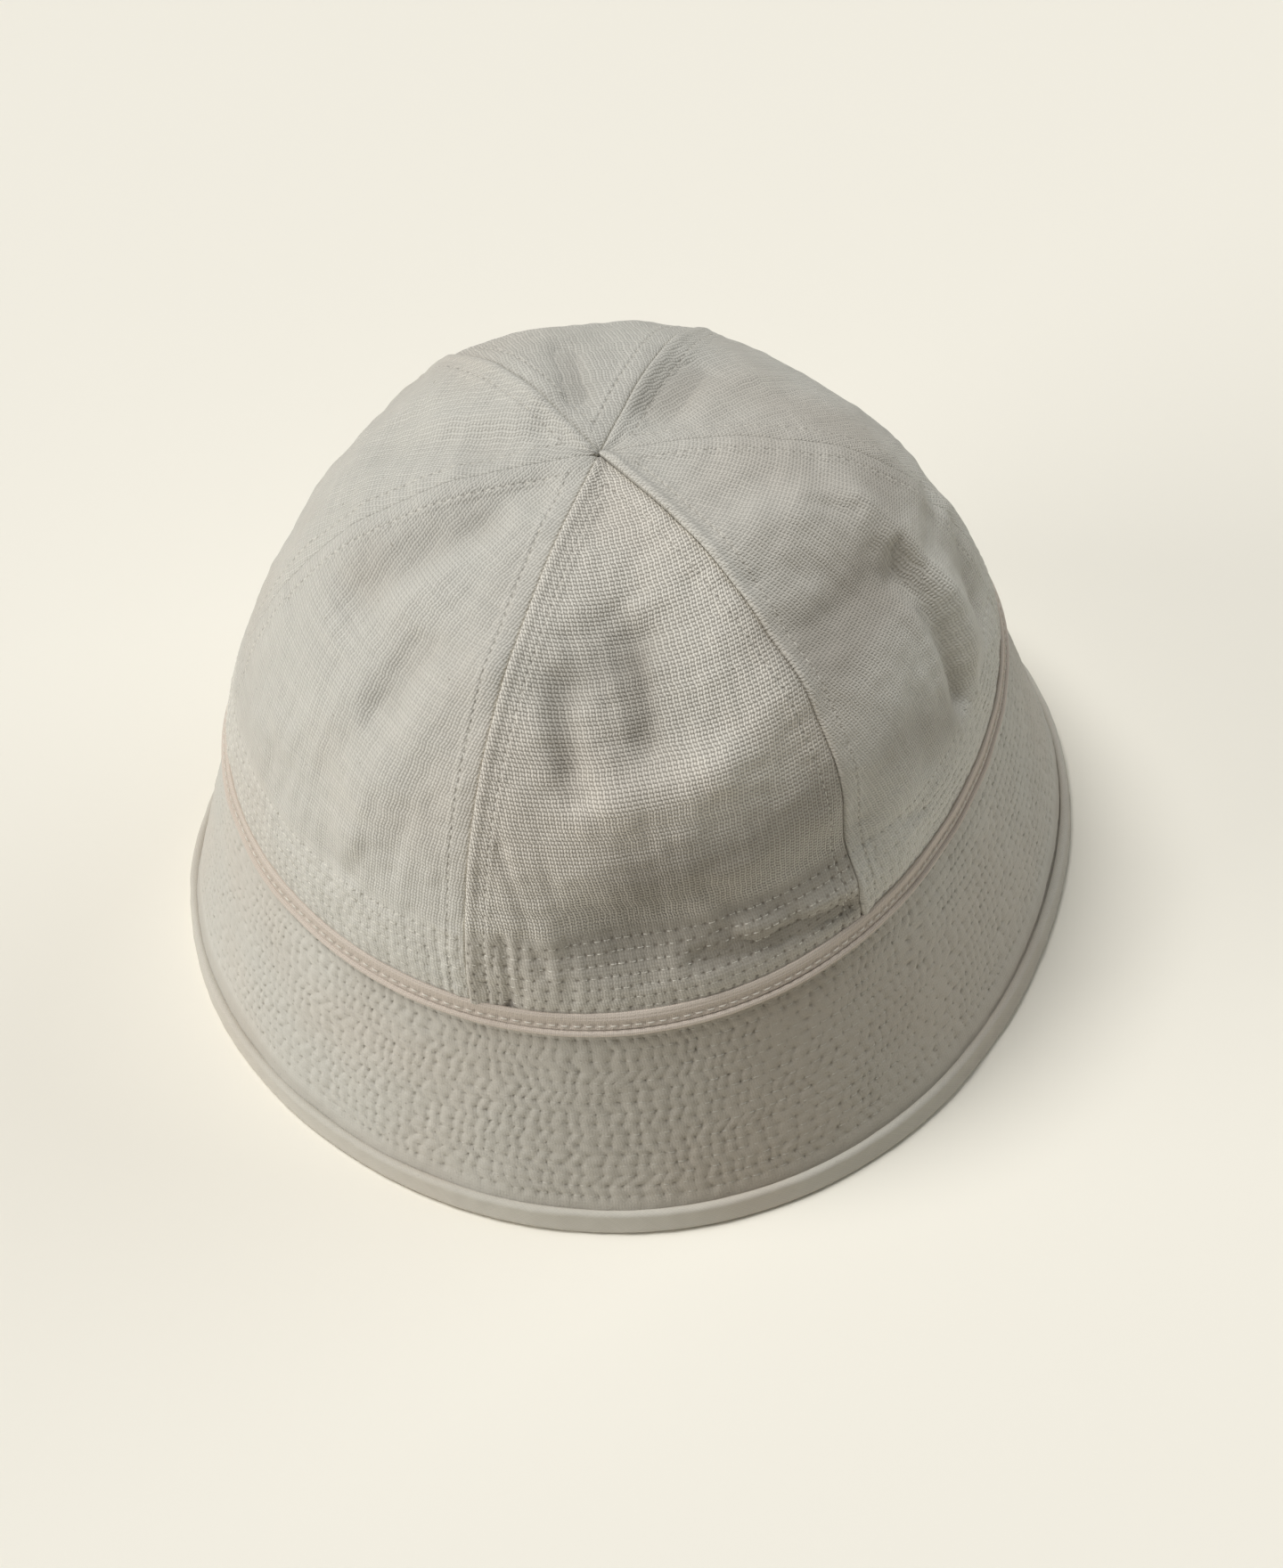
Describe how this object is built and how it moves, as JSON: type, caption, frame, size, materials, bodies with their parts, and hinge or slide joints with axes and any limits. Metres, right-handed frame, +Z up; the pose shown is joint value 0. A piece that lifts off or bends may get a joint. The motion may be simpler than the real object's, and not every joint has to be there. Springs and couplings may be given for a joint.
{
  "type": "canvas bucket hat",
  "caption": "Soft canvas sailor's sun hat with a crown of sewn gores, a narrow join tape and a steep quilted brim with a bound edge.",
  "frame": {"origin": "the middle of the brim's outline, on the surface that the hat rests on", "axes": "+Z up, -Y towards the gore that faces the picture's camera, +X to the right as that camera sees it"},
  "size_m": [0.2418, 0.2278, 0.1589],
  "materials": {
    "crown_canvas": "matt undyed cotton canvas, coarse plain weave with slubs and flecks",
    "brim_canvas": "the same canvas, quilted with close rows of stitching",
    "join_tape": "fine matt cotton tape, a little pinker than the canvas",
    "edge_binding": "canvas cut on the bias and folded round the edge"
  },
  "bodies": {
    "root": {"crown_panel_front": "crown_canvas", "crown_panel_front_right": "crown_canvas", "crown_panel_back_right": "crown_canvas", "crown_panel_back": "crown_canvas", "crown_panel_back_left": "crown_canvas", "crown_panel_front_left": "crown_canvas", "join_tape": "join_tape", "brim": "brim_canvas", "edge_binding": "edge_binding"}
  },
  "joints": []
}
